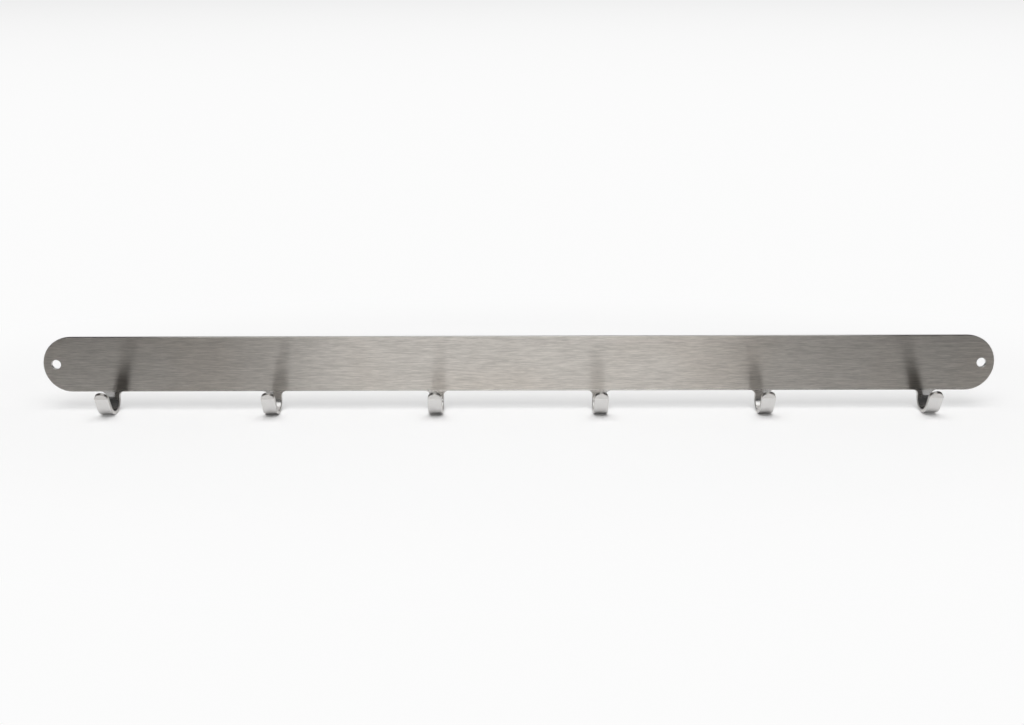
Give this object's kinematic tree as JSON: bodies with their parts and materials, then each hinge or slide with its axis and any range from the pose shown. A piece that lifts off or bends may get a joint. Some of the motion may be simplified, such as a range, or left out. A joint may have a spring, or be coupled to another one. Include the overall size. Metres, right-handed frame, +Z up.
{
  "type": "utensil hanging rack",
  "caption": "Flat stainless wall bar with round ends, a screw hole near each end, and a row of small hooks bent forward from its lower edge for hanging kitchen utensils.",
  "frame": {"origin": "on the back face, midway between the two screw holes", "axes": "+X along the bar, +Y from the bar towards the wall, +Z up; the hooks reach forward along -Y"},
  "size_m": [0.41, 0.016, 0.0327],
  "materials": {
    "brushed_stainless": "fine brushing along the bar, satin"
  },
  "bodies": {
    "root": {"hook_rack": "brushed_stainless"}
  },
  "joints": []
}
